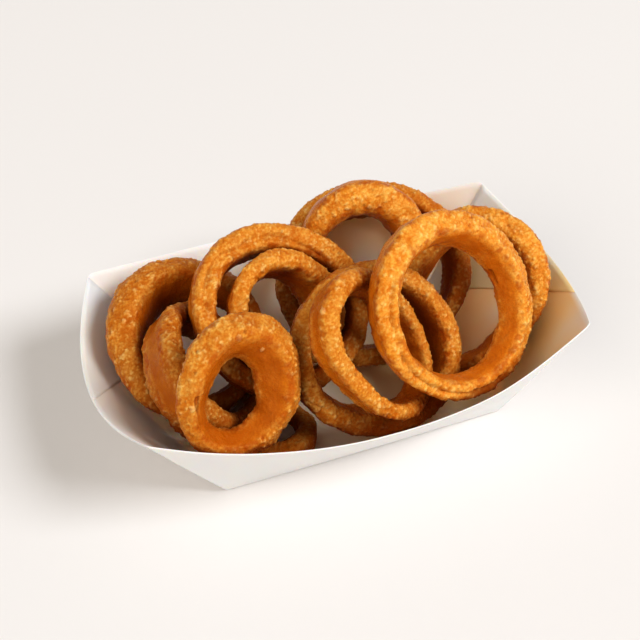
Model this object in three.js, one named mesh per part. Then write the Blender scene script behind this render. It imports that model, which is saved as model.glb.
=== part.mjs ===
// A side of twelve battered onion rings heaped in a white folded-paper food tray.
//
// Millimetres, +Z up. The origin is the middle of the tray's flat underside, X runs along
// the tray's length and -Y is its front long side.
//
// Each ring is a torus that is reshaped into a short, flared band: an oval hoop, a section with
// flattened sides that is slanted outwards and thicker on one side, a gentle warp out of the
// hoop's plane and a lumpy batter crust.
// The tray is a lathe whose circles are bent into a rectangle with four sharp folded corners,
// so that its rim dips and bows out between them.

import * as THREE from 'three';
import { mergeVertices } from 'three/addons/utils/BufferGeometryUtils.js';

// ---- tray -------------------------------------------------------------------------------
const BASE_LENGTH = 128;
const BASE_WIDTH = 83;
const RIM_LENGTH = 190; // corner to corner
const RIM_WIDTH = 105; // corner to corner
const CORNER_HEIGHT = 54;
const SIDE_DIP = 13; // how far the rim drops between two corners
const SIDE_BOW = 16.5; // how far a long side's rim bows outwards
const END_BOW = 14; // how far an end's rim bows outwards
const PAPER = 0.6;
const SIDE_STEPS = 14; // facets along a long side
const END_STEPS = 9; // facets along an end

// ---- rings ------------------------------------------------------------------------------
const STEP_AROUND = 5; // facet length along a hoop
const SECTION_STEPS = 14; // facets round a hoop's section
const SECTION_POWER = 0.78; // 1 gives an oval section, lower gives one with flatter sides
const CRUST_RELIEF = 0.75; // how far the crust's highest lumps stand out
const CRUST_SHRINK = 0.25; // how far the crust's middle level lies inside its full size
const CRUST_LUMP = 11; // length of one lump along the hoop
const GROOVE_REACH = 18; // degrees of the section from a groove's bottom to its shoulder

// Every ring has its centre, the tilt of its axis from upright (lean) towards a compass
// direction counted from +X (heading), the radius of the hoop's middle line, its thickness
// across (wall) and along the axis (height) and the outward slant of its wall towards the
// upper face (flare). oval and thick are a share and the direction, from the hoop's lowest
// point, in which the hoop is longer or its section fatter. A groove is a furrow in the crust,
// at an angle round the section that starts on the outside and turns to the upper face.
// Angles are in degrees.
const RINGS = [
  {
    name: 'ring_left_back', seed: 19, at: [-60.5, 12.5, 38], lean: 21, heading: -83,
    radius: 29, wall: 13, height: 18.5, flare: 23, oval: [0.07, -20], thick: [0.4, -130],
  },
  {
    name: 'ring_left_middle', seed: 23, at: [-59.5, -5.5, 36], lean: 47, heading: -19,
    radius: 26.5, wall: 10.5, height: 19, flare: 9, oval: [0.05, 80], thick: [0.2, -130],
  },
  {
    name: 'ring_left_front', seed: 20, at: [-55.5, -37, 54.5], lean: 62, heading: -79,
    radius: 20.5, wall: 13.5, height: 17.5, flare: 40, oval: [0.11, -30], thick: [0.25, 140],
  },
  {
    name: 'ring_centre_large', seed: 11, at: [-23, 4.5, 49.5], lean: 40, heading: -68,
    radius: 34, wall: 12, height: 16.5, flare: 8, oval: [0.05, 70], thick: [0.2, 150],
    groove: { angle: 100, depth: 1.4 },
  },
  {
    name: 'ring_centre_small', seed: 29, at: [-23, 2.5, 53.5], lean: 54, heading: -65,
    radius: 20.5, wall: 11, height: 18, flare: 18, oval: [0.07, 50], thick: [0.2, 60],
  },
  {
    name: 'ring_middle_front', seed: 10, at: [5.5, -33, 54.5], lean: 54, heading: -49,
    radius: 26, wall: 9.5, height: 14.5, flare: 18, oval: [0.17, 10], thick: [0.1, -170],
  },
  {
    name: 'ring_middle_low', seed: 20, at: [9.5, -22, 41], lean: 50, heading: -76,
    radius: 33, wall: 12, height: 17.5, flare: 17, oval: [0.05, 70], thick: [0.1, 40],
    groove: { angle: 60, depth: 0.9 },
  },
  {
    name: 'ring_right_front', seed: 4, at: [40.5, -30.5, 62.5], lean: 54, heading: -67,
    radius: 34.5, wall: 13.5, height: 14.5, flare: 24, oval: [0.03, 50], thick: [0.15, 150],
    groove: { angle: 25, depth: 1.2 },
  },
  {
    name: 'ring_right_back', seed: 28, at: [62, -4.5, 39.5], lean: 52, heading: -114,
    radius: 30, wall: 13.5, height: 15.5, flare: 20, oval: [0.14, -30], thick: [0.2, 170],
  },
  {
    name: 'ring_back_upper', seed: 16, at: [27, 34, 47.5], lean: 60, heading: -98,
    radius: 23.5, wall: 14.5, height: 14.5, flare: 6, oval: [0.03, 80], thick: [0.3, 140],
  },
  {
    name: 'ring_back_large', seed: 28, at: [31, 31, 32], lean: 35, heading: -101,
    radius: 38.5, wall: 11, height: 17.5, flare: 24, oval: [0.05, -70], thick: [0.15, -170],
  },
  {
    name: 'ring_bottom', seed: 12, at: [-41.5, -21, 8], lean: 7, heading: 89,
    radius: 18.5, wall: 10.5, height: 10, flare: 10, oval: [0.11, 50], thick: [0.1, 160],
  },
];

const rad = THREE.MathUtils.degToRad;
const TURN = 2 * Math.PI;

// Repeatable numbers from 0 to 1 (mulberry32).
function draws(seed) {
  let state = seed >>> 0;
  return () => {
    state = (state + 0x6d2b79f5) >>> 0;
    let mix = Math.imul(state ^ (state >>> 15), 1 | state);
    mix = (mix + Math.imul(mix ^ (mix >>> 7), 61 | mix)) ^ mix;
    return ((mix ^ (mix >>> 14)) >>> 0) / 4294967296;
  };
}

// Crust lumps: three crossing waves round the hoop and its section, from -1 to 1.
function crustWaves(random, radius) {
  const around = Math.round((TURN * radius) / CRUST_LUMP);
  const waves = [[around, 1], [around - 3, -2], [Math.round(around / 2), 2]].map(
    ([turns, twists]) => ({ turns, twists, phase: TURN * random() }),
  );
  return (turn, section) => waves.reduce(
    (sum, { turns, twists, phase }) => sum + Math.sin(turns * turn + twists * section + phase),
    0,
  ) / waves.length;
}

function grooveDepth(groove, section) {
  if (!groove) return 0;
  const past = section - rad(groove.angle);
  const away = Math.atan2(Math.sin(past), Math.cos(past));
  return groove.depth * Math.exp(-((away / rad(GROOVE_REACH)) ** 2));
}

// A cosine or sine pushed outwards, so that an oval section gets flatter sides and ends.
function squared(share) {
  return Math.sign(share) * Math.abs(share) ** SECTION_POWER;
}

// One battered ring round its own Z axis; its X axis is the side that will lie lowest.
function ringGeometry({ seed, radius, wall, height, flare, oval, thick, groove }) {
  const random = draws(seed);
  const warp = 0.5 + 0.9 * random();
  const warpTurn = TURN * random();
  const egg = 0.008 + 0.02 * random();
  const eggTurn = TURN * random();
  const crust = crustWaves(random, radius);

  const hoopSteps = Math.round((TURN * radius) / STEP_AROUND);
  const geometry = new THREE.TorusGeometry(radius, wall / 2, SECTION_STEPS, hoopSteps);
  const position = geometry.attributes.position;
  for (let i = 0; i < position.count; i += 1) {
    const turn = (TURN * (i % (hoopSteps + 1))) / hoopSteps;
    const section = (TURN * Math.floor(i / (hoopSteps + 1))) / SECTION_STEPS;
    const hoop = radius * (1 + oval[0] * Math.cos(2 * (turn - rad(oval[1])))
      + egg * Math.cos(3 * turn - eggTurn));
    const fatness = 1 + thick[0] * Math.cos(turn - rad(thick[1]));
    const relief = CRUST_RELIEF * crust(turn, section) - CRUST_SHRINK
      - grooveDepth(groove, section);
    const across = (fatness * wall / 2 + relief) * squared(Math.cos(section));
    const along = (fatness * height / 2 + relief) * squared(Math.sin(section));
    const outwards = across * Math.cos(rad(flare)) + along * Math.sin(rad(flare));
    const upwards = along * Math.cos(rad(flare)) - across * Math.sin(rad(flare));
    position.setXYZ(
      i,
      (hoop + outwards) * Math.cos(turn),
      (hoop + outwards) * Math.sin(turn),
      upwards + warp * Math.cos(2 * turn - warpTurn),
    );
  }
  return weld(geometry);
}

function ringMesh(ring) {
  const crust = new THREE.MeshStandardMaterial({ color: 0xc9822f, roughness: 0.75, metalness: 0 });
  const mesh = new THREE.Mesh(ringGeometry(ring), crust);
  mesh.name = ring.name;
  mesh.position.set(...ring.at);
  mesh.rotation.set(0, rad(ring.lean), rad(ring.heading), 'ZYX');
  return mesh;
}

// The four folded corners, walked anticlockwise from the front left one, and the facets of
// the wall that starts at each.
const CORNERS = [[-1, -1], [1, -1], [1, 1], [-1, 1]];
const WALL_STEPS = [SIDE_STEPS, END_STEPS, SIDE_STEPS, END_STEPS];

// The point of the tray's outline that is `step` facets along from the first corner, at a
// share of the wall's height: 0 is the base fold and 1 the rim.
function outlinePoint(step, share) {
  let wallIndex = 0;
  let rest = step % (2 * (SIDE_STEPS + END_STEPS));
  while (rest >= WALL_STEPS[wallIndex]) {
    rest -= WALL_STEPS[wallIndex];
    wallIndex += 1;
  }
  const along = rest / WALL_STEPS[wallIndex];
  const from = CORNERS[wallIndex];
  const to = CORNERS[(wallIndex + 1) % 4];
  const x = from[0] + along * (to[0] - from[0]);
  const y = from[1] + along * (to[1] - from[1]);
  const swell = 4 * along * (1 - along);
  const isEnd = from[0] === to[0];
  const bowX = isEnd ? Math.sign(x) * END_BOW * swell : 0;
  const bowY = isEnd ? 0 : Math.sign(y) * SIDE_BOW * swell;
  return new THREE.Vector3(
    (x / 2) * (BASE_LENGTH + share * (RIM_LENGTH - BASE_LENGTH)) + share * bowX,
    (y / 2) * (BASE_WIDTH + share * (RIM_WIDTH - BASE_WIDTH)) + share * bowY,
    share * (CORNER_HEIGHT - SIDE_DIP * swell),
  );
}

// Lathe profile as (share of the way out from the middle or up the wall, which skin).
// The skins are one paper thickness apart, measured level on the walls and upright on the base.
const PROFILE = [
  { out: 0, up: 0, inside: false },
  { out: 1, up: 0, inside: false },
  { out: 1, up: 0.5, inside: false },
  { out: 1, up: 1, inside: false },
  { out: 1, up: 1, inside: true },
  { out: 1, up: 0.5, inside: true },
  { out: 1, up: 0, inside: true },
  { out: 0, up: 0, inside: true },
];

function trayGeometry() {
  const steps = 2 * (SIDE_STEPS + END_STEPS);
  const outline = PROFILE.map(({ out, up }, i) => new THREE.Vector2(out, up + 0.001 * i));
  const geometry = new THREE.LatheGeometry(outline, steps);
  const position = geometry.attributes.position;
  for (let i = 0; i < position.count; i += 1) {
    const step = Math.floor(i / PROFILE.length);
    const { out, up, inside } = PROFILE[i % PROFILE.length];
    const point = outlinePoint(step, up);
    const skin = inside ? PAPER : 0;
    const lift = inside ? PAPER * (1 - up) : 0;
    position.setXYZ(
      i,
      out * (point.x - Math.sign(point.x) * skin),
      out * (point.y - Math.sign(point.y) * skin),
      point.z + lift,
    );
  }
  return weld(geometry);
}

function trayMesh() {
  const paper = new THREE.MeshStandardMaterial({ color: 0xf4f1ec, roughness: 0.8, metalness: 0 });
  const mesh = new THREE.Mesh(trayGeometry(), paper);
  mesh.name = 'tray';
  return mesh;
}

// Joins the doubled vertices at a geometry's seams, so that it is one closed body with its
// faces pointing out.
function weld(geometry) {
  geometry.deleteAttribute('normal');
  geometry.deleteAttribute('uv');
  return mergeVertices(geometry, 1e-4);
}

const onionRings = new THREE.Group();
onionRings.add(trayMesh(), ...RINGS.map(ringMesh));

export default onionRings;
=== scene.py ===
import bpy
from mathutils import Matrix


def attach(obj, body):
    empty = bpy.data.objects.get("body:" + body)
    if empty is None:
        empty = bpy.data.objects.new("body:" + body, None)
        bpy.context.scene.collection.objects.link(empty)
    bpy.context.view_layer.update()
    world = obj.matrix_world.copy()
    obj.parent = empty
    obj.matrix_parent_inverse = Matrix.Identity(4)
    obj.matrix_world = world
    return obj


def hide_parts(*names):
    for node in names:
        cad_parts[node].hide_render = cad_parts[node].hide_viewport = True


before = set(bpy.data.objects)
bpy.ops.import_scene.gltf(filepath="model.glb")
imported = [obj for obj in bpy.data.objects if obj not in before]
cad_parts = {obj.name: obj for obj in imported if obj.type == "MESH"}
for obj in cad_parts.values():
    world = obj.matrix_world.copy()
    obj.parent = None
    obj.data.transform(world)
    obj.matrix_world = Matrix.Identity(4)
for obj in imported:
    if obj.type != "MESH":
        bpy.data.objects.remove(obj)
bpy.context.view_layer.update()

# Twelve battered onion rings in a folded paper tray. Each ring's CAD solid is dressed in a crust
# with fine relief, and the tray's in a thin paper sheet with four glued corner tabs.
# Lengths are millimetres up to the point where MM makes them Blender's metres. The lights and
# the floor are in metres, and colours are linear red, green and blue.

import math
from collections import namedtuple

import bpy
import numpy as np
from mathutils import Matrix, Vector
from mathutils.bvhtree import BVHTree
from mathutils.kdtree import KDTree

MM = 0.001

# ---- camera and light ---------------------------------------------------------------------
FOCAL_PX = 1178.6
IMAGE_PX = 640
SENSOR_MM = 36
CAMERA_PITCH = math.radians(43.99)
CAMERA_ROLL = math.radians(-0.355)
CAMERA_AZIMUTH = math.radians(-20.075)
CAMERA_TARGET = Vector((9.47, 42.32, 0)) * MM
CAMERA_DISTANCE = 574.0 * MM

# The key light comes from the front right. The fill and the sky are warmer and very soft.
LIGHT_DISTANCE = 8.0
KEY_AZIMUTH = math.radians(-36)
KEY_ELEVATION = math.radians(43)
KEY_SIZE = 3.7
KEY_POWER = 490.0
KEY_COLOUR = (0.93, 0.96, 1.0)
FILL_AZIMUTH = math.radians(-150)
FILL_ELEVATION = math.radians(38)
FILL_SIZE = 6.6
FILL_POWER = 240.0
SKY_COLOUR = (1.0, 0.95, 0.89)
SKY_STRENGTH = 0.47
TONE_GAMMA = 0.88  # deepens the shadows as a camera's tone curve does

FLOOR_REACH = 4.0
FLOOR_HEIGHT = -0.0001
FLOOR_WHITE = (0.83, 0.806, 0.787)

# ---- rings --------------------------------------------------------------------------------
# Every ring's crust: the outward slant of its wall as in the CAD (flare, in degrees), how brown
# it is fried (0 golden, 1 brown), and its marks. A mark's places are angles in degrees: round
# the hoop from its lowest side, and round the section from the outside over the upper rim.
# A furrow is (width, depth, darkness of the shade painted in it, places) and a crumb is (radius,
# place).
RINGS = {
    "ring_left_back": {"flare": 23, "brown": 0.55},
    "ring_left_middle": {"flare": 9, "brown": 0.6},
    "ring_left_front": {
        "flare": 40, "brown": 0.38,
        "furrows": [(0.7, 0.7, 0.8, [(-100, 131), (-84, 140), (-68, 145)])],
        "crumbs": [(1.1, (173, 134)), (1.3, (136, 167)), (1.0, (-92, 118))],
    },
    "ring_centre_large": {
        "flare": 8, "brown": 0.25,
        "furrows": [
            (1.3, 1.3, 0.4, [(-112, 101), (-125, 93), (-139, 87), (-153, 96), (-167, 113),
                             (176, 109), (162, 106), (147, 110), (128, 121), (107, 130)]),
        ],
    },
    "ring_centre_small": {"flare": 18, "brown": 0.2},
    "ring_middle_front": {
        "flare": 18, "brown": 0.3,
        "crumbs": [(1.2, (-150, 60))],
    },
    "ring_middle_low": {
        "flare": 17, "brown": 0.25,
        "furrows": [(0.8, 0.8, 0.8, [(-90, 50), (-86, 55), (-78, 80), (-69, 105)])],
    },
    "ring_right_front": {
        "flare": 24, "brown": 0.0,
        "furrows": [
            (1.2, 1.3, 0.45, [(-133, 108), (-100, 110), (-72, 97), (-39, 94), (-7, 88), (6, 92)]),
            (0.6, 0.7, 0.9, [(79, -152), (84, -146), (91, -147)]),
        ],
    },
    "ring_right_back": {"flare": 20, "brown": 0.05},
    "ring_back_upper": {"flare": 6, "brown": 0.1},
    "ring_back_large": {"flare": 24, "brown": 0.35},
    "ring_bottom": {"flare": 10, "brown": 0.0},
}
FIRST_SEED = 7
SEED_STEP = 100  # a ring's own noises use the seeds up to the next ring's
SEED_SHIFT = 37.0  # mm between the places where two neighbouring seeds read the noise

VOXEL = 0.56
WELD_GAP = 0.01
SMOOTH_ROUNDS = 19
SECTION_REACH = 7.5  # typical distance from a hoop's middle line to its crust
MIDDLE_WAVES = 3  # waves that a hoop's middle line is fitted with

# ---- the crust's relief -------------------------------------------------------------------
# Angles round the section, in degrees from the outside over a rim, and how far each spreads.
RIM_RIDGES = ((62, 20), (122, 20))
WALLS = ((0, 28), (180, 28))
INNER_WALL = ((180, 50),)
FRIED_EDGES = ((50, 15), (132, 14))
RIDGE_HEIGHT = 0.45
WALL_HOLLOW = 0.3
CRUST_SINK = 0.25  # how far the crust's middle level lies inside the smooth band

# Layers of lumps: (size, weight).
STRAY_PATCHES = ((9.0, 1.0), (4.0, 0.5))
FRIED_PATCHES = ((4.5, 0.55), (1.6, 0.5))
MARK_WOBBLE = ((2.4, 0.6), (6.0, 0.9))

# What stands out of the crust or is sunk in it: its size and height, how much it counts as a
# crest and as a loose grain in the colours, and the range over which a grain's own random
# number brings it in, so that a high range leaves most of them out.
Relief = namedtuple("Relief", "size height crest loose shown")
LARGE_LUMPS = Relief(size=6.5, height=0.38, crest=0, loose=0, shown=None)
SMALL_LUMPS = Relief(size=3.2, height=0.34, crest=0.2, loose=0, shown=None)
BEADS = Relief(size=1.9, height=0.55, crest=0.45, loose=0.7, shown=(0.5, 0.85))
GRIT = Relief(size=1.05, height=0.33, crest=0.7, loose=0.6, shown=(0.1, 0.5))
FINE = Relief(size=0.9, height=0.07, crest=0.3, loose=0, shown=None)
POCKS = Relief(size=1.9, height=-0.35, crest=0, loose=0, shown=(0.955, 0.985))

GRITTY_SINES = (0.3, 0.95)  # of the angle round the section, where grit begins and is full
STRAY_SHARE = 0.32
WALL_LUMPS = 0.65  # share of the lumps' height that the walls keep
WALL_GRAINS = 0.3  # share of the grit and pocks that the walls keep
# The pocks' darkness and a furrow's darkness are painted shade in those hollows.
POCK_DARKNESS = 0.6
DARK_STRETCH = 5.0  # size of the stretches in which a furrow is dark or isn't
DARK_RANGE = (-0.5, 0.3)
CRUMB_FLATNESS = 0.7
CRUMB_WOBBLE = 0.5
CRUMB_LOOSE = 0.8
FULL_LUMP = 0.6  # height of a lump that counts as a whole one in the colours
EDGE_SHARE = 0.75  # how much the rims' edges count in where the crust is fried dark
FRIED_RANGE = (0.45, 1.15)
CREST_RANGE = (-0.5, 1.1)

# ---- how much sky the crust has -----------------------------------------------------------
RAYS = 96  # directions tried from each corner of a ring's solid
RAY_REACH = 45
RAY_START = 0.6  # distance from the solid, so that a ray doesn't meet its own facet
RAY_HEIGHTS = 1.25  # the rays' heights go from 1, straight up, down to -0.25
GRAZING = 0.15  # rays this near to level with the surface are left out
HOOP_WAVES = 8
SECTION_WAVES = 3
FIT_DAMPING = 0.5
# Painted shade: the crust's colour is darkened where the heap hides its sky.
DEEP_SKY = 0.08  # share of sky at which crust is as dark as it gets
OPEN_SKY = 0.62  # share of sky from which crust isn't darkened

# ---- the crust's colours ------------------------------------------------------------------
WALL_DARK = (0.58, 0.135, 0.002)
WALL_LIGHT = (0.86, 0.290, 0.010)
# The next colour reddens the inner wall: partly a more oil-soaked crust, partly painted shade of
# the hole.
INNER_OIL_AND_SHADE_COLOUR = (0.60, 0.140, 0.002)
VALLEY_DARK = (0.66, 0.160, 0.003)
VALLEY_LIGHT = (0.83, 0.280, 0.011)
CREST_DARK = (0.93, 0.430, 0.045)
CREST_LIGHT = (1.00, 0.640, 0.150)
MOTTLE_COLOUR = (0.53, 0.100, 0.001)
# The next colour darkens dips between lumps: partly oil in them, partly painted shade.
DIP_OIL_AND_SHADE_COLOUR = (0.50, 0.105, 0.001)
BROWN_COLOUR = (0.36, 0.074, 0.001)
# The next colour lightens loose grains: partly pale crumbs, partly painted glints.
GRAIN_AND_GLINT_COLOUR = (1.0, 0.76, 0.34)
FRIED_COLOUR = (0.46, 0.080, 0.0005)
# The next colour is painted shade in the pocks and furrows.
HOLLOW_SHADE_COLOUR = (0.20, 0.030, 0.001)
# The next colour is painted shade for crust deep in the heap.
PAINTED_SHADE_COLOUR = (0.19, 0.022, 0.0005)
OIL_GLINT = (1.0, 0.62, 0.18)

# ---- tray, as in the CAD ------------------------------------------------------------------
BASE_LENGTH = 128
BASE_WIDTH = 83
RIM_LENGTH = 190
RIM_WIDTH = 105
CORNER_HEIGHT = 54
SIDE_DIP = 13
SIDE_BOW = 16.5
END_BOW = 14

# ---- tray, the paper's own ----------------------------------------------------------------
PAPER = 0.55
FOLD_RADIUS = 1.6
RIM_ROUND = 0.35  # share of the paper's thickness by which its cut edge stands up
CORNER_MARKS = [0, 0.4, 0.8, 1.2, 1.6, 2.4]  # columns of the mesh near an upright fold
MARKS_END = 4  # where the even columns begin
COLUMN_STEP = 2.6
BASE_ROWS = (-1.0, -0.75, -0.5, -0.3, -0.15, -0.07)  # rows of the mesh, as in sheet_point
FOLD_ROWS = (-0.03, -0.02, -0.01, 0.0, 0.01, 0.02, 0.03)
WALL_ROWS = (0.06, 1, 20)
SHEET_WAVES = ((34.0, 0.35), (15.0, 0.12))  # how a hand-folded sheet strays: (size, reach)
WAVES_START = (2.0, 25.0)  # heights between which the waves come in
PUSH = 2.4  # how far the rings push the front side's rim out
PUSH_PLACE = 42
PUSH_SPREAD = 30
PUSH_POWER = 1.5  # how the push grows with height

# The long sides' corner tabs, glued to the ends: the end's wall, the end of that wall with the
# tab's fold, 1 outside the end or -1 inside it, and how far across the end its rim reaches.
TABS = {
    "tab_front_right": (1, 0, 1, 0.76),
    "tab_back_right": (1, 1, -1, 0.73),
    "tab_front_left": (3, 1, 1, 0.78),
    "tab_back_left": (3, 0, -1, 0.6),
}
TAB_PAPER = 0.24
TAB_GAP = 0.03
TAB_ROWS = 26
TAB_COLUMNS = 30
TAB_HEIGHTS = (0.05, 0.998)  # shares of the wall's height
TAB_START = 0.02  # share of the tab's width that its fold takes

PAPER_DARK = (0.865, 0.84, 0.815)
PAPER_LIGHT = (0.885, 0.86, 0.838)
# Oil stain with painted orange glow standing in for light bounced from the rings: strongest near
# the rings and at the right end, fading high up the back side.
OIL_STAIN_AND_GLOW_COLOUR = (1.0, 0.64, 0.24)
STAIN_AND_GLOW_REACH = (34.0, 2.0)  # distances from a ring where oil begins and where it soaks the paper
STAIN_AND_GLOW_WOBBLE = 3.0
STAIN_AND_GLOW_PATCH = 12.0  # size of the stains' wobbles
BACK_FADE = 0.75  # how much cleaner the upper part of the back side is
BACK_FADE_Y = (28.0, 48.0)
BACK_FADE_Z = (25.0, 45.0)
LEFT_STAIN_AND_GLOW = 0.25  # share of the right end's oil that the left end has
STAIN_AND_GLOW_FADE_X = (-50.0, 50.0)


# ---- seeded noise on arrays of points -----------------------------------------------------
def lattice(cell, seed):
    """One repeatable number from 0 to 1 for each whole-number cell."""
    cell = cell.astype(np.int64)
    mix = (cell[..., 0] * 73856093) ^ (cell[..., 1] * 19349663) ^ (cell[..., 2] * 83492791)
    mix = (mix ^ (seed * 2654435761)) & 0xFFFFFFFF
    mix = ((mix ^ (mix >> 16)) * 0x45D9F3B) & 0xFFFFFFFF
    mix = ((mix ^ (mix >> 16)) * 0x45D9F3B) & 0xFFFFFFFF
    return ((mix ^ (mix >> 16)) & 0xFFFFFF) / 0xFFFFFF


def lumps(points, size, seed):
    """Smooth noise from -1 to 1 with lumps of about the given size."""
    place = points / size
    low = np.floor(place)
    rest = place - low
    fade = rest * rest * (3 - 2 * rest)
    total = 0
    for corner in np.ndindex(2, 2, 2):
        corner = np.array(corner)
        weight = np.prod(np.where(corner, fade, 1 - fade), axis=-1)
        total = total + weight * lattice(low + corner, seed)
    return 2 * total - 1


def layered(points, layers, seed):
    """A sum of lumps of several (size, weight), each with the next seed."""
    total = 0
    for step, (size, weight) in enumerate(layers):
        total = total + weight * lumps(points, size, seed + step)
    return total


def grains(points, kind, seed):
    """Round grains of one kind, from 0 between them to 1 on top of those that show."""
    place = points / kind.size
    low = np.floor(place)
    nearest = np.full(len(points), 9.0)
    who = np.zeros(len(points))
    for step in np.ndindex(3, 3, 3):
        cell = low + np.array(step) - 1
        centre = cell + np.stack([lattice(cell, seed + k) for k in (1, 2, 3)], axis=-1)
        away = np.sum((place - centre) ** 2, axis=-1)
        closer = away < nearest
        who = np.where(closer, lattice(cell, seed + 4), who)
        nearest = np.where(closer, away, nearest)
    return np.clip(1 - nearest / 0.5, 0, 1) * ramp(who, *kind.shown)


def ramp(value, low, high):
    """0 up to low and 1 from high, with a smooth rise between them."""
    share = np.clip((value - low) / (high - low), 0, 1)
    return share * share * (3 - 2 * share)


def nearness(turn, places):
    """How near angles are to any of the (place, spread), from 0 to about 1."""
    return sum(np.exp(-((turn - place) / spread) ** 2) for place, spread in places)


def waves_of(angle, count):
    """1, and the cosines and sines of the angle's first multiples."""
    waves = [np.ones(len(angle))]
    for turns in range(1, count + 1):
        waves += [np.cos(turns * angle), np.sin(turns * angle)]
    return waves


# ---- mesh helpers -------------------------------------------------------------------------
def link(name, mesh):
    piece = bpy.data.objects.new(name, mesh)
    bpy.context.scene.collection.objects.link(piece)
    return piece


def vertex_rows(mesh, field):
    flat = np.empty(len(mesh.vertices) * 3)
    mesh.vertices.foreach_get(field, flat)
    return flat.reshape(-1, 3)


def coordinates(mesh):
    """The mesh's vertices, in millimetres."""
    return vertex_rows(mesh, "co") / MM


def normals(mesh):
    return vertex_rows(mesh, "normal")


def set_coordinates(mesh, points):
    mesh.vertices.foreach_set("co", (points * MM).ravel())
    mesh.update()


def add_numbers(mesh, name, values):
    layer = mesh.attributes.new(name, "FLOAT", "POINT")
    layer.data.foreach_set("value", np.asarray(values, float))


def applied(piece):
    """The piece with its modifiers made part of its mesh."""
    graph = bpy.context.evaluated_depsgraph_get()
    graph.update()
    mesh = bpy.data.meshes.new_from_object(piece.evaluated_get(graph))
    old = piece.data
    piece.modifiers.clear()
    piece.data = mesh
    bpy.data.meshes.remove(old)
    return piece


# ---- places on a ring ---------------------------------------------------------------------
def hoop_frame(mesh):
    """Centre and axes of a ring's CAD solid: x to its lowest side, z along its axis, up."""
    points = vertex_rows(mesh, "co")
    corners = np.array([tuple(face.vertices) for face in mesh.loop_triangles])
    a, b, c = points[corners[:, 0]], points[corners[:, 1]], points[corners[:, 2]]
    area = np.linalg.norm(np.cross(b - a, c - a), axis=1)
    middle = (a + b + c) / 3
    centre = np.average(middle, axis=0, weights=area)
    spread = np.cov((middle - centre).T, aweights=area)
    axis = np.linalg.eigh(spread)[1][:, 0]
    axis = axis * np.sign(axis[2])
    across = np.cross(axis, (0, 0, 1))
    across = across / np.linalg.norm(across)
    down = np.cross(across, axis)
    down = down * -np.sign(down[2])
    return centre / MM, np.stack([down, np.cross(axis, down), axis])


def band_place(own, flare):
    """Angles of points round the hoop and round the band's section, and the hoop's radius."""
    hoop = np.arctan2(own[:, 1], own[:, 0])
    waves = np.stack(waves_of(hoop, MIDDLE_WAVES), axis=1)
    out = np.hypot(own[:, 0], own[:, 1])
    out_fit = np.linalg.lstsq(waves, out, rcond=None)[0]
    up_fit = np.linalg.lstsq(waves, own[:, 2], rcond=None)[0]
    across = out - waves @ out_fit
    along = own[:, 2] - waves @ up_fit
    slant = math.radians(flare)
    section = np.arctan2(across * math.sin(slant) + along * math.cos(slant),
                         across * math.cos(slant) - along * math.sin(slant))
    return hoop, section, out_fit[0]


def turned_by(angle, start):
    """The angle's way from start, the short way round."""
    return (angle - start + math.pi) % (2 * math.pi) - math.pi


def away_from(band, places):
    """Distance over the crust to a path or a single place given in degrees."""
    hoop, section, radius = band
    corners = np.radians(places)
    if len(corners) == 1:
        corners = np.repeat(corners, 2, axis=0)
    nearest = np.full(len(hoop), 99.0)
    for start, end in zip(corners[:-1], corners[1:]):
        step_x = turned_by(end[0], start[0]) * radius
        step_y = turned_by(end[1], start[1]) * SECTION_REACH
        x = turned_by(hoop, start[0]) * radius
        y = turned_by(section, start[1]) * SECTION_REACH
        length = max(step_x ** 2 + step_y ** 2, 1e-6)
        share = np.clip((x * step_x + y * step_y) / length, 0, 1)
        nearest = np.minimum(nearest, np.hypot(x - share * step_x, y - share * step_y))
    return nearest


# ---- how much sky a ring has --------------------------------------------------------------
def all_solids():
    """A search tree of the whole CAD part's triangles."""
    corners, faces = [], []
    for name in sorted(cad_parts):
        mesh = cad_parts[name].data
        mesh.calc_loop_triangles()
        start = len(corners)
        corners += coordinates(mesh).tolist()
        faces += [tuple(start + i for i in face.vertices) for face in mesh.loop_triangles]
    return BVHTree.FromPolygons(corners, faces)


def sky_rays():
    """Directions spread evenly over the sky and a little below level, in a spiral."""
    count = np.arange(RAYS) + 0.5
    height = 1 - RAY_HEIGHTS * count / RAYS
    turn = count * math.pi * (3 - math.sqrt(5))
    flat = np.sqrt(1 - height ** 2)
    return np.stack([flat * np.cos(turn), flat * np.sin(turn), height], axis=1)


def sky_at_corners(mesh):
    """For each corner of a CAD solid, the share of its sky that nothing hides."""
    facing = normals(mesh)
    starts = coordinates(mesh) + facing * RAY_START
    rays = sky_rays()
    toward = np.clip(facing @ rays.T, 0, 1)
    seen = np.zeros(len(starts))
    whole = toward.sum(axis=1) + 1e-6
    for i, start in enumerate(starts):
        for k in np.nonzero(toward[i] > GRAZING)[0]:
            if SOLIDS.ray_cast(Vector(start), Vector(rays[k]), RAY_REACH)[0] is None:
                seen[i] += toward[i, k]
    return seen / whole


def band_waves(band):
    """Smooth waves round the hoop and the section, to fit and read back values."""
    hoop, section, _ = band
    around = waves_of(hoop, HOOP_WAVES)
    across = waves_of(section, SECTION_WAVES)
    return np.stack([a * b for a in around for b in across], axis=1)


def sky_over(band, solid, solid_band):
    """The share of open sky over the crust, carried over from the solid's corners."""
    waves = band_waves(solid_band)
    damping = FIT_DAMPING * np.eye(waves.shape[1])
    fit = np.linalg.solve(waves.T @ waves + damping, waves.T @ sky_at_corners(solid))
    return np.clip(band_waves(band) @ fit, 0, 1)


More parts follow.
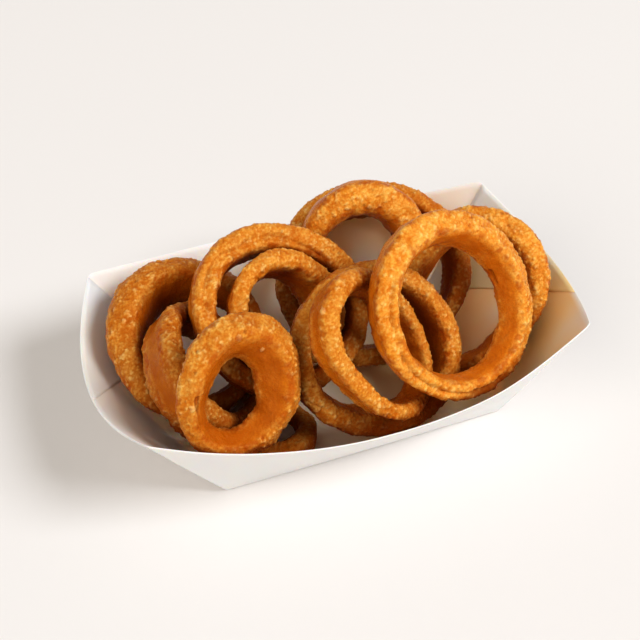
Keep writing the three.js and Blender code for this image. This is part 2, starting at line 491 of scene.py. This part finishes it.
# ---- rings --------------------------------------------------------------------------------
def smooth_body(name):
    """A ring's CAD solid as a new piece with rounded facets and a fine, even mesh."""
    piece = link(name + "_crust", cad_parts[name].data.copy())
    piece.data.materials.clear()
    weld = piece.modifiers.new("weld", "WELD")
    weld.merge_threshold = WELD_GAP * MM
    round_off = piece.modifiers.new("round", "SUBSURF")
    round_off.levels = 1
    voxels = piece.modifiers.new("voxels", "REMESH")
    voxels.mode = "VOXEL"
    voxels.voxel_size = VOXEL * MM
    smooth = piece.modifiers.new("smooth", "SMOOTH")
    smooth.factor = 0.5
    smooth.iterations = SMOOTH_ROUNDS
    return applied(piece)


def marks(band, looks, spots, seed):
    """A ring's furrows, the darkness of the shade painted in them, and its crumbs, at each point of
    its crust.
    """
    wobble = layered(spots, MARK_WOBBLE, seed + 6)
    dark_stretch = ramp(lumps(spots, DARK_STRETCH, seed + 8), *DARK_RANGE)
    furrow, furrow_shade, crumb = np.zeros((3, len(spots)))
    for width, depth, darkness, places in looks.get("furrows", []):
        cut = np.exp(-((away_from(band, places) + wobble) / width) ** 2)
        furrow = np.maximum(furrow, depth * cut)
        furrow_shade = np.maximum(furrow_shade, darkness * cut * dark_stretch)
    for radius, place in looks.get("crumbs", []):
        share = (away_from(band, [place]) + CRUMB_WOBBLE * wobble) / radius
        dome = np.sqrt(np.clip(1 - share ** 2, 0, 1)) * radius * CRUMB_FLATNESS
        crumb = np.maximum(crumb, dome)
    return furrow, furrow_shade, crumb


def crust_relief(band, looks, spots, seed):
    """The crust's height over the smooth band, and the numbers from 0 to 1 that its material
    reads. The spots are where the ring's points read the noise."""
    section = band[1]
    turn = np.degrees(abs(section))

    # The walls are a little hollow between ridges at the rims' edges.
    shape = RIDGE_HEIGHT * nearness(turn, RIM_RIDGES) - WALL_HOLLOW * nearness(turn, WALLS)

    # The rims are gritty and the walls between them smooth, with some straying of both.
    stray = layered(spots, STRAY_PATCHES, seed + 2)
    gritty = np.clip(ramp(abs(np.sin(section)), *GRITTY_SINES) + STRAY_SHARE * stray, 0, 1)
    wall_share = WALL_GRAINS + (1 - WALL_GRAINS) * gritty
    large = lumps(spots, LARGE_LUMPS.size, seed)
    small = lumps(spots, SMALL_LUMPS.size, seed + 1)
    coarse = LARGE_LUMPS.height * large + SMALL_LUMPS.height * small
    beads = grains(spots, BEADS, seed + 10) * gritty
    grit = grains(spots, GRIT, seed + 20) * wall_share
    fine = lumps(spots, FINE.size, seed + 5)
    pocks = POCK_DARKNESS * grains(spots, POCKS, seed + 30) * wall_share

    furrow, furrow_shade, crumb = marks(band, looks, spots, seed)
    # The hollows' sunk depth, and the shade painted in them.
    hollow_and_shade = np.maximum(pocks, furrow_shade)
    height = (shape + coarse * (WALL_LUMPS + (1 - WALL_LUMPS) * gritty)
              + BEADS.height * beads + GRIT.height * grit + FINE.height * fine
              + POCKS.height * hollow_and_shade - furrow + crumb - CRUST_SINK)

    fried = EDGE_SHARE * nearness(turn, FRIED_EDGES) + layered(spots, FRIED_PATCHES, seed + 12)
    crest = (SMALL_LUMPS.crest * small + BEADS.crest * beads + GRIT.crest * grit
             + FINE.crest * fine)
    loose = BEADS.loose * beads + GRIT.loose * grit + CRUMB_LOOSE * (crumb > 0)
    numbers = {
        "gritty": gritty,
        "grain": np.clip(loose, 0, 1),
        "fried": ramp(fried, *FRIED_RANGE),
        "hollow_and_shade": np.clip(hollow_and_shade, 0, 1),
        "crest": ramp(crest, *CREST_RANGE),
        "lump": 0.5 + 0.5 * np.clip(coarse / FULL_LUMP, -1, 1),
        "inside": nearness(turn, INNER_WALL),
        "brown": np.full(len(spots), looks["brown"]),
    }
    return height, numbers


def ring_piece(name, seed):
    """One ring's crust, in place of its CAD solid."""
    looks = RINGS[name]
    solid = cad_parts[name].data
    centre, axes = hoop_frame(solid)
    piece = smooth_body(name)
    mesh = piece.data
    points = coordinates(mesh)
    own = (points - centre) @ axes.T
    band = band_place(own, looks["flare"])
    solid_band = band_place((coordinates(solid) - centre) @ axes.T, looks["flare"])
    height, numbers = crust_relief(band, looks, own + seed * SEED_SHIFT, seed)
    # Painted shade where the heap hides the crust's sky.
    numbers["painted_shade"] = ramp(-sky_over(band, solid, solid_band), -OPEN_SKY, -DEEP_SKY)
    set_coordinates(mesh, points + normals(mesh) * height[:, None])
    for number, values in numbers.items():
        add_numbers(mesh, number, values)
    mesh.materials.append(CRUST)
    mesh.shade_smooth()
    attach(piece, "root")
    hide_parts(name)
    return piece


# ---- tray ---------------------------------------------------------------------------------
CORNERS = [(-1, -1), (1, -1), (1, 1), (-1, 1)]


def wall_point(wall, along, share):
    """A point of the folded sheet: wall 0 is the front, then right end, back and left end."""
    start = CORNERS[wall]
    end = CORNERS[(wall + 1) % 4]
    x = start[0] + along * (end[0] - start[0])
    y = start[1] + along * (end[1] - start[1])
    swell = 4 * along * (1 - along)
    is_end = start[0] == end[0]
    bow_x = math.copysign(END_BOW * swell, x) if is_end else 0
    bow_y = 0 if is_end else math.copysign(SIDE_BOW * swell, y)
    return np.array([
        x / 2 * (BASE_LENGTH + share * (RIM_LENGTH - BASE_LENGTH)) + share * bow_x,
        y / 2 * (BASE_WIDTH + share * (RIM_WIDTH - BASE_WIDTH)) + share * bow_y,
        share * (CORNER_HEIGHT - SIDE_DIP * swell),
    ])


def wall_length(wall):
    return BASE_LENGTH if wall % 2 == 0 else BASE_WIDTH


def outline_steps():
    """Places round the tray as (wall, share along it), close together at the corners."""
    steps = []
    for wall in range(4):
        length = wall_length(wall)
        middle = np.linspace(MARKS_END, length - MARKS_END, round(length / COLUMN_STEP))
        last = [length - mark for mark in reversed(CORNER_MARKS[1:])]
        steps += [(wall, mark / length) for mark in CORNER_MARKS + list(middle) + last]
    return steps


def rounded_point(wall, along, share):
    """wall_point with the upright corner folds rounded."""
    length = wall_length(wall)
    reach = FOLD_RADIUS
    for corner_wall, gap in ((wall, along * length), (wall + 1, -(1 - along) * length)):
        if abs(gap) < reach:
            after = corner_wall % 4
            before = (corner_wall - 1) % 4
            t = (gap + reach) / (2 * reach)
            first = wall_point(before, 1 - reach / wall_length(before), share)
            fold = wall_point(after, 0, share)
            last = wall_point(after, reach / wall_length(after), share)
            return (1 - t) ** 2 * first + 2 * t * (1 - t) * fold + t * t * last
    return wall_point(wall, along, share)


def sheet_point(wall, along, rise):
    """A point of the sheet: rise is below 0 on the base, from -1 in its middle, and 0 to 1 up
    the wall. The base fold is rounded."""
    reach = FOLD_RADIUS / CORNER_HEIGHT
    if rise <= -reach:
        return rounded_point(wall, along, 0) * (1 + rise)
    if rise >= reach:
        return rounded_point(wall, along, rise)
    t = (rise + reach) / (2 * reach)
    first = rounded_point(wall, along, 0) * (1 - reach)
    fold = rounded_point(wall, along, 0)
    last = rounded_point(wall, along, reach)
    return (1 - t) ** 2 * first + 2 * t * (1 - t) * fold + t * t * last


def waved(grid, out):
    """The middle of the hand-folded sheet, which strays a little from true above its base and
    is pushed out at the front by the rings."""
    points = grid.reshape(-1, 3)
    wave = layered(points, SHEET_WAVES, 5)
    lift = ramp(grid[..., 2], *WAVES_START) * wave.reshape(grid.shape[:2])
    push = PUSH * np.exp(-((grid[..., 0] - PUSH_PLACE) / PUSH_SPREAD) ** 2) * (grid[..., 1] < 0)
    lift = lift + push * (grid[..., 2] / CORNER_HEIGHT) ** PUSH_POWER
    return grid + out * lift[..., None] + np.array([0, 0, PAPER / 2])


def oil_stain_and_glow_share(points):
    """How far oil has stained the paper at each point, with painted orange glow standing in for
    light bounced from the rings, from 0 to 1: more near the rings and at the right end, and less
    high up the back side."""
    rings = [coordinates(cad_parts[name].data) for name in sorted(RINGS)]
    rings = np.concatenate(rings)
    tree = KDTree(len(rings))
    for i, point in enumerate(rings):
        tree.insert(point, i)
    tree.balance()
    away = np.array([tree.find(point)[2] for point in points])
    start, full = STAIN_AND_GLOW_REACH
    stain_and_glow_near = ramp(-away - STAIN_AND_GLOW_WOBBLE * lumps(points, STAIN_AND_GLOW_PATCH, 9), -start, -full)
    back_fade = ramp(points[:, 1], *BACK_FADE_Y) * ramp(points[:, 2], *BACK_FADE_Z)
    right = LEFT_STAIN_AND_GLOW + (1 - LEFT_STAIN_AND_GLOW) * ramp(points[:, 0], *STAIN_AND_GLOW_FADE_X)
    return stain_and_glow_near * right * (1 - BACK_FADE * back_fade)


def sheet_piece(name, points, faces, oil_stain_and_glow):
    """A piece of paper in place of the CAD's tray."""
    mesh = bpy.data.meshes.new(name)
    mesh.from_pydata((points * MM).tolist(), [], faces)
    add_numbers(mesh, "oil_stain_and_glow", oil_stain_and_glow)
    mesh.materials.append(PAPER_WHITE)
    mesh.shade_smooth()
    piece = link(name, mesh)
    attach(piece, "root")
    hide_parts("tray")
    return piece


def tray_piece():
    """The sheet as one closed skin: the outside from the base's middle up, round the rim and
    down the inside."""
    steps = outline_steps()
    rises = [*BASE_ROWS, *FOLD_ROWS, *np.linspace(*WALL_ROWS)]
    grid = np.array([[sheet_point(w, a, r) for w, a in steps] for r in rises])
    around = np.roll(grid, -1, axis=1) - np.roll(grid, 1, axis=1)
    upward = np.gradient(grid, axis=0)
    out = np.cross(around, upward)
    out[0] = (0, 0, -1)
    out = out / np.linalg.norm(out, axis=-1, keepdims=True)
    middle = waved(grid, out)
    outer = middle + out * PAPER / 2
    inner = middle - out * PAPER / 2
    columns = len(steps)
    rim = middle[-1] + np.array([0, 0, PAPER * RIM_ROUND])
    skins = np.concatenate([outer[1:], rim[None], inner[1:][::-1]])
    points = np.concatenate([[outer[0, 0], inner[0, 0]], skins.reshape(-1, 3)])

    def index(row, column):
        return 2 + row * columns + column % columns

    faces = []
    last = len(skins) - 1
    for column in range(columns):
        faces.append((0, index(0, column + 1), index(0, column)))
        faces.append((1, index(last, column), index(last, column + 1)))
        for row in range(last):
            faces.append((index(row, column), index(row, column + 1),
                          index(row + 1, column + 1), index(row + 1, column)))
    inside = np.arange(len(points)) >= index(len(rises) + 1, 0)
    inside[1] = True
    return sheet_piece("tray_sheet", points, faces, oil_stain_and_glow_share(points) * inside)


def tab_piece(name, wall, corner, side, rim_reach):
    """A corner tab: a triangle from the fold at share `corner` of the wall to a slanted edge
    that meets the rim rim_reach of the way across. side is 1 outside the wall, -1 inside it."""
    grid = np.empty((TAB_ROWS, TAB_COLUMNS, 3))
    for row, share in enumerate(np.linspace(*TAB_HEIGHTS, TAB_ROWS)):
        for column, part in enumerate(np.linspace(TAB_START, 1, TAB_COLUMNS)):
            reach = rim_reach * share * part
            along = reach if corner == 0 else 1 - reach
            grid[row, column] = rounded_point(wall, along, share)
    out = np.cross(np.gradient(grid, axis=1), np.gradient(grid, axis=0))
    out = out / np.linalg.norm(out, axis=-1, keepdims=True)
    out = out * np.sign(np.sum(out * grid * (1, 1, 0), axis=-1, keepdims=True))
    middle = waved(grid, out) + side * out * (PAPER / 2 + TAB_GAP + TAB_PAPER / 2)
    skins = np.concatenate([middle + out * TAB_PAPER / 2, middle - out * TAB_PAPER / 2])

    def index(skin, row, column):
        return (skin * TAB_ROWS + row) * TAB_COLUMNS + column

    faces = []
    for row in range(TAB_ROWS - 1):
        for column in range(TAB_COLUMNS - 1):
            square = [(row, column), (row, column + 1), (row + 1, column + 1), (row + 1, column)]
            faces.append(tuple(index(0, *at) for at in square))
            faces.append(tuple(index(1, *at) for at in reversed(square)))
    edge = ([(0, column) for column in range(TAB_COLUMNS)]
            + [(row, TAB_COLUMNS - 1) for row in range(1, TAB_ROWS)]
            + [(TAB_ROWS - 1, column) for column in range(TAB_COLUMNS - 2, -1, -1)]
            + [(row, 0) for row in range(TAB_ROWS - 2, 0, -1)])
    for first, second in zip(edge, edge[1:] + edge[:1]):
        faces.append((index(0, *second), index(0, *first), index(1, *first), index(1, *second)))
    if corner == 1:
        faces = [tuple(reversed(face)) for face in faces]
    points = skins.reshape(-1, 3)
    return sheet_piece(name, points, faces, oil_stain_and_glow_share(points) * (side < 0))


# ---- materials ----------------------------------------------------------------------------
def put(links, value, socket):
    """Links a node's output to the socket, or gives the socket a number or a colour."""
    if isinstance(value, bpy.types.NodeSocket):
        links.new(value, socket)
    elif socket.type == "RGBA":
        socket.default_value = (*value, 1)
    else:
        socket.default_value = value


class Graph:
    """A material, with short ways to add nodes to it. Each gives its node's output."""

    def __init__(self, name):
        self.made = bpy.data.materials.new(name)
        self.made.use_nodes = True
        self.nodes = self.made.node_tree.nodes
        self.links = self.made.node_tree.links
        self.shader = self.nodes["Principled BSDF"]

    def finish(self, settings):
        """The material, with its shader's inputs set by name."""
        for name, value in settings.items():
            put(self.links, value, self.shader.inputs[name])
        return self.made

    def number(self, name):
        """One of the mesh's own numbers."""
        node = self.nodes.new("ShaderNodeAttribute")
        node.attribute_name = name
        return node.outputs["Fac"]

    def noise(self, size, detail=3, roughness=0.5):
        """Noise whose lumps have the given size."""
        place = self.nodes.new("ShaderNodeTexCoord")
        node = self.nodes.new("ShaderNodeTexNoise")
        put(self.links, place.outputs["Object"], node.inputs["Vector"])
        put(self.links, 1 / (size * MM), node.inputs["Scale"])
        put(self.links, detail, node.inputs["Detail"])
        put(self.links, roughness, node.inputs["Roughness"])
        return node.outputs["Fac"]

    def spread(self, value, low, high, at_low=0.0, at_high=1.0):
        """The value's way from low to high, made a way from at_low to at_high."""
        node = self.nodes.new("ShaderNodeMapRange")
        put(self.links, value, node.inputs["Value"])
        put(self.links, low, node.inputs["From Min"])
        put(self.links, high, node.inputs["From Max"])
        put(self.links, at_low, node.inputs["To Min"])
        put(self.links, at_high, node.inputs["To Max"])
        return node.outputs["Result"]

    def times(self, first, second):
        node = self.nodes.new("ShaderNodeMath")
        node.operation = "MULTIPLY"
        put(self.links, first, node.inputs[0])
        put(self.links, second, node.inputs[1])
        return node.outputs["Value"]

    def mix(self, share, first, second):
        """The first colour at share 0 and the second at share 1."""
        node = self.nodes.new("ShaderNodeMix")
        node.data_type = "RGBA"
        put(self.links, share, node.inputs["Factor"])
        put(self.links, first, node.inputs["A"])
        put(self.links, second, node.inputs["B"])
        return node.outputs["Result"]

    def tint(self, base, colour, value, most, low=0.0, high=1.0):
        """base with a colour mixed in as the value goes from low to high, at most by a share."""
        return self.mix(self.spread(value, low, high, 0.0, most), base, colour)

    def bump(self, height, strength, distance, under=None):
        node = self.nodes.new("ShaderNodeBump")
        put(self.links, height, node.inputs["Height"])
        put(self.links, strength, node.inputs["Strength"])
        put(self.links, distance * MM, node.inputs["Distance"])
        if under is not None:
            put(self.links, under, node.inputs["Normal"])
        return node.outputs["Normal"]


def crust_material():
    graph = Graph("crust")
    names = ("gritty", "crest", "grain", "inside", "lump", "brown", "fried", "hollow_and_shade", "painted_shade")
    gritty, crest, grain, inside, lump, brown, fried, hollow_and_shade, painted_shade = map(graph.number, names)
    broad = graph.spread(graph.noise(12), 0.36, 0.64)
    patch = graph.spread(graph.noise(7.5, 3, 0.6), 0.34, 0.64)
    mottle = graph.spread(graph.noise(0.6, 2, 0.6), 0.38, 0.62)

    # The smooth walls, redder inside the ring, partly from a more oil-soaked crust and partly as
    # painted shade of the hole, and the gritty rims with their light crests.
    wall = graph.mix(broad, WALL_DARK, WALL_LIGHT)
    wall = graph.tint(wall, INNER_OIL_AND_SHADE_COLOUR, inside, most=0.7)
    valley = graph.mix(patch, VALLEY_DARK, VALLEY_LIGHT)
    peak = graph.mix(patch, CREST_DARK, CREST_LIGHT)
    rims = graph.mix(crest, valley, peak)
    base = graph.mix(graph.spread(gritty, 0.1, 0.7, at_low=0.15, at_high=1.0), wall, rims)

    # What darkens or lightens both: dips (partly oil, partly painted shade), browning, loose grains
    # (partly pale crumbs, partly painted glints), painted shade in the hollows, and painted shade
    # where the heap hides the sky.
    base = graph.tint(base, MOTTLE_COLOUR, mottle, most=0.3, low=1.0, high=0.0)
    # Dips darker: partly oil, partly painted shade.
    base = graph.tint(base, DIP_OIL_AND_SHADE_COLOUR, lump, most=0.55, low=0.5, high=0.0)
    off_crests = graph.spread(crest, 0.2, 0.9, at_low=1.0, at_high=0.6)
    base = graph.mix(graph.times(brown, off_crests), base, BROWN_COLOUR)
    # Loose grains lighter: partly pale crumbs, partly painted glints.
    base = graph.tint(base, GRAIN_AND_GLINT_COLOUR, grain, most=0.3, low=0.4, high=0.95)
    base = graph.tint(base, FRIED_COLOUR, fried, most=0.7)
    # Painted shade in the pocks and furrows.
    base = graph.tint(base, HOLLOW_SHADE_COLOUR, hollow_and_shade, most=0.8, low=0.1, high=0.9)
    # Painted shade where the heap hides the crust's sky.
    base = graph.tint(base, PAINTED_SHADE_COLOUR, painted_shade, most=0.85)

    # Oil shines on the grains that stand out, and not down in the heap, where the crust has painted
    # shade.
    shine = graph.times(graph.spread(grain, 0.1, 0.9, at_low=0.32, at_high=0.80),
                        graph.spread(painted_shade, 0.0, 0.8, at_low=1.0, at_high=0.1))
    pores = graph.bump(graph.noise(0.55, 3, 0.6), 0.55, 0.4)
    return graph.finish({
        "Base Color": base,
        "Roughness": graph.spread(graph.times(gritty, mottle), 0.0, 1.0, at_low=0.26, at_high=0.40),
        "Specular IOR Level": shine,
        "Specular Tint": OIL_GLINT,
        "Subsurface Weight": 0.1,
        "Subsurface Radius": (1.0, 0.4, 0.12),
        "Subsurface Scale": 1.2 * MM,
        "Normal": graph.bump(graph.noise(1.4, 3, 0.6), 0.5, 0.7, under=pores),
    })


def paper_material():
    graph = Graph("paper_white")
    white = graph.mix(graph.spread(graph.noise(40, 2), 0.3, 0.7), PAPER_DARK, PAPER_LIGHT)
    return graph.finish({
        # Oil stains with painted orange glow of light bounced from the rings.
        "Base Color": graph.mix(graph.number("oil_stain_and_glow"), white, OIL_STAIN_AND_GLOW_COLOUR),
        "Roughness": 0.6,
        "Specular IOR Level": 0.3,
        "Subsurface Weight": 0.45,
        "Subsurface Radius": (1.0, 0.6, 0.36),
        "Subsurface Scale": 1.2 * MM,
        "Normal": graph.bump(graph.noise(1.1, 4), 0.12, 0.2),
    })


# ---- stage --------------------------------------------------------------------------------
def floor():
    mesh = bpy.data.meshes.new("floor")
    corners = [(x * FLOOR_REACH, y * FLOOR_REACH, FLOOR_HEIGHT) for x, y in CORNERS]
    mesh.from_pydata(corners, [], [(0, 1, 2, 3)])
    mesh.materials.append(Graph("floor_white").finish({
        "Base Color": FLOOR_WHITE,
        "Roughness": 0.9,
    }))
    link("floor", mesh)


def camera():
    pitch, azimuth = CAMERA_PITCH, CAMERA_AZIMUTH
    back = Vector((math.sin(azimuth) * math.cos(pitch), -math.cos(azimuth) * math.cos(pitch),
                   math.sin(pitch)))
    right = Vector((math.cos(azimuth), math.sin(azimuth), 0))
    up = back.cross(right)
    turned_right = math.cos(CAMERA_ROLL) * right + math.sin(CAMERA_ROLL) * up
    turned_up = math.cos(CAMERA_ROLL) * up - math.sin(CAMERA_ROLL) * right
    data = bpy.data.cameras.new("camera")
    data.sensor_width = SENSOR_MM
    data.lens = FOCAL_PX * SENSOR_MM / IMAGE_PX
    eye = bpy.data.objects.new("camera", data)
    turn = Matrix((turned_right, turned_up, back)).transposed().to_4x4()
    eye.matrix_world = Matrix.Translation(CAMERA_TARGET + CAMERA_DISTANCE * back) @ turn
    bpy.context.scene.collection.objects.link(eye)
    bpy.context.scene.camera = eye


def soft_light(name, azimuth, elevation, size, power, colour):
    """A round area light that faces the tray from LIGHT_DISTANCE away."""
    towards = Vector((math.cos(azimuth) * math.cos(elevation),
                      math.sin(azimuth) * math.cos(elevation), math.sin(elevation)))
    data = bpy.data.lights.new(name, "AREA")
    data.shape = "DISK"
    data.size = size
    data.energy = power
    data.color = colour
    light = bpy.data.objects.new(name, data)
    light.matrix_world = Matrix.Translation(towards * LIGHT_DISTANCE) @ (
        towards.to_track_quat("Z", "Y").to_matrix().to_4x4())
    bpy.context.scene.collection.objects.link(light)


def lights():
    soft_light("key", KEY_AZIMUTH, KEY_ELEVATION, KEY_SIZE, KEY_POWER, KEY_COLOUR)
    soft_light("fill", FILL_AZIMUTH, FILL_ELEVATION, FILL_SIZE, FILL_POWER, SKY_COLOUR)
    world = bpy.data.worlds.new("sky")
    world.use_nodes = True
    sky = world.node_tree.nodes["Background"]
    sky.inputs["Color"].default_value = (*SKY_COLOUR, 1)
    sky.inputs["Strength"].default_value = SKY_STRENGTH
    bpy.context.scene.world = world


SOLIDS = all_solids()
CRUST = crust_material()
PAPER_WHITE = paper_material()
for step, ring_name in enumerate(sorted(RINGS)):
    ring_piece(ring_name, FIRST_SEED + SEED_STEP * step)
tray_piece()
for tab_name, tab in TABS.items():
    tab_piece(tab_name, *tab)
floor()
lights()
camera()
bpy.context.scene.view_settings.view_transform = "Standard"
bpy.context.scene.view_settings.gamma = TONE_GAMMA
